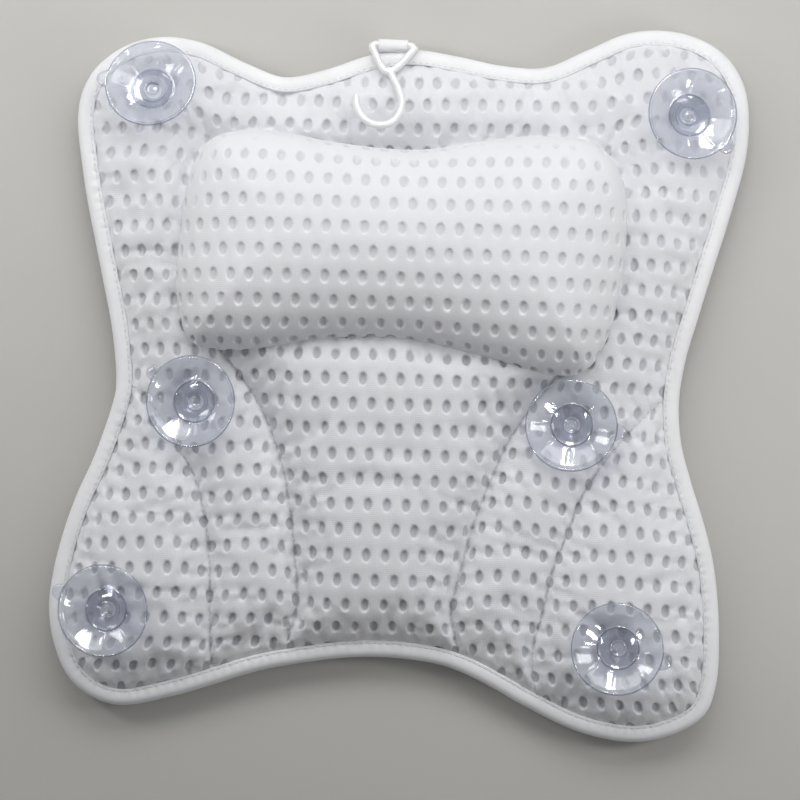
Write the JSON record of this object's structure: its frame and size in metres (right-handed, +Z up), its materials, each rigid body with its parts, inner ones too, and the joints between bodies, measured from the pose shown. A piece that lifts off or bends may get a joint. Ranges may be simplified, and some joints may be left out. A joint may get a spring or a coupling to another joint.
{
  "type": "bath pillow",
  "caption": "Quilted butterfly-shaped bath pillow of white air mesh with a raised neck roll, suction cups that turn and a swinging hook to hang it by.",
  "frame": {"origin": "middle of the base of the bounding box, on the surface that the pillow lies on", "axes": "+X to the right seen from the neck roll's side, +Y towards the edge with the hook, +Z up out of the face with the neck roll"},
  "size_m": [0.362, 0.3826, 0.0621],
  "materials": {
    "mesh_cloth": "white polyester spacer mesh with oval holes",
    "padding": "polyester filling",
    "tape": "smooth white woven tape",
    "thread": "white sewing thread",
    "clear_vinyl": "clear bluish soft vinyl, glossy",
    "white_plastic": "white moulded plastic, glossy"
  },
  "bodies": {
    "pillow": {"rear_cover": "mesh_cloth", "front_cover": "mesh_cloth", "yoke_pad": "padding", "centre_pad": "padding", "left_wing_pad": "padding", "right_wing_pad": "padding", "edge_binding": "tape", "edge_thread": "thread", "left_wing_thread": "thread", "left_band_thread": "thread", "right_band_thread": "thread", "right_wing_thread": "thread", "neck_roll_cover": "mesh_cloth", "neck_roll_filling": "padding", "neck_roll_thread": "thread", "hanging_loop": "tape"},
    "upper_left_cup": {"cup_upper_left": "clear_vinyl"},
    "upper_right_cup": {"cup_upper_right": "clear_vinyl"},
    "middle_left_cup": {"cup_middle_left": "clear_vinyl"},
    "middle_right_cup": {"cup_middle_right": "clear_vinyl"},
    "lower_left_cup": {"cup_lower_left": "clear_vinyl"},
    "lower_right_cup": {"cup_lower_right": "clear_vinyl"},
    "hanger": {"hook": "white_plastic"}
  },
  "joints": [
    {"name": "upper_left_cup_turn", "type": "hinge", "parent": "pillow", "child": "upper_left_cup", "pos_m": [-0.13927, 0.14496, 0.02284], "axis": [-0.0827, 0.2273, 0.9703], "continuous": true},
    {"name": "upper_right_cup_turn", "type": "hinge", "parent": "pillow", "child": "upper_right_cup", "pos_m": [0.1481, 0.14496, 0.02347], "axis": [0.171, -0.0302, 0.9848], "continuous": true},
    {"name": "middle_left_cup_turn", "type": "hinge", "parent": "pillow", "child": "middle_left_cup", "pos_m": [-0.10765, -0.02136, 0.02479], "axis": [-0.2008, -0.0538, 0.9781], "continuous": true},
    {"name": "middle_right_cup_turn", "type": "hinge", "parent": "pillow", "child": "middle_right_cup", "pos_m": [0.09323, -0.02419, 0.02536], "axis": [-0.0895, -0.1066, 0.9903], "continuous": true},
    {"name": "lower_left_cup_turn", "type": "hinge", "parent": "pillow", "child": "lower_left_cup", "pos_m": [-0.14857, -0.13381, 0.02538], "axis": [-0.1574, -0.0734, 0.9848], "continuous": true},
    {"name": "lower_right_cup_turn", "type": "hinge", "parent": "pillow", "child": "lower_right_cup", "pos_m": [0.12299, -0.14137, 0.0269], "axis": [-0.1418, -0.0661, 0.9877], "continuous": true},
    {"name": "hook_swing", "type": "hinge", "parent": "pillow", "child": "hanger", "pos_m": [-0.01177, 0.17745, 0.016], "axis": [-1, 0, 0], "range_deg": [0, 155]}
  ]
}
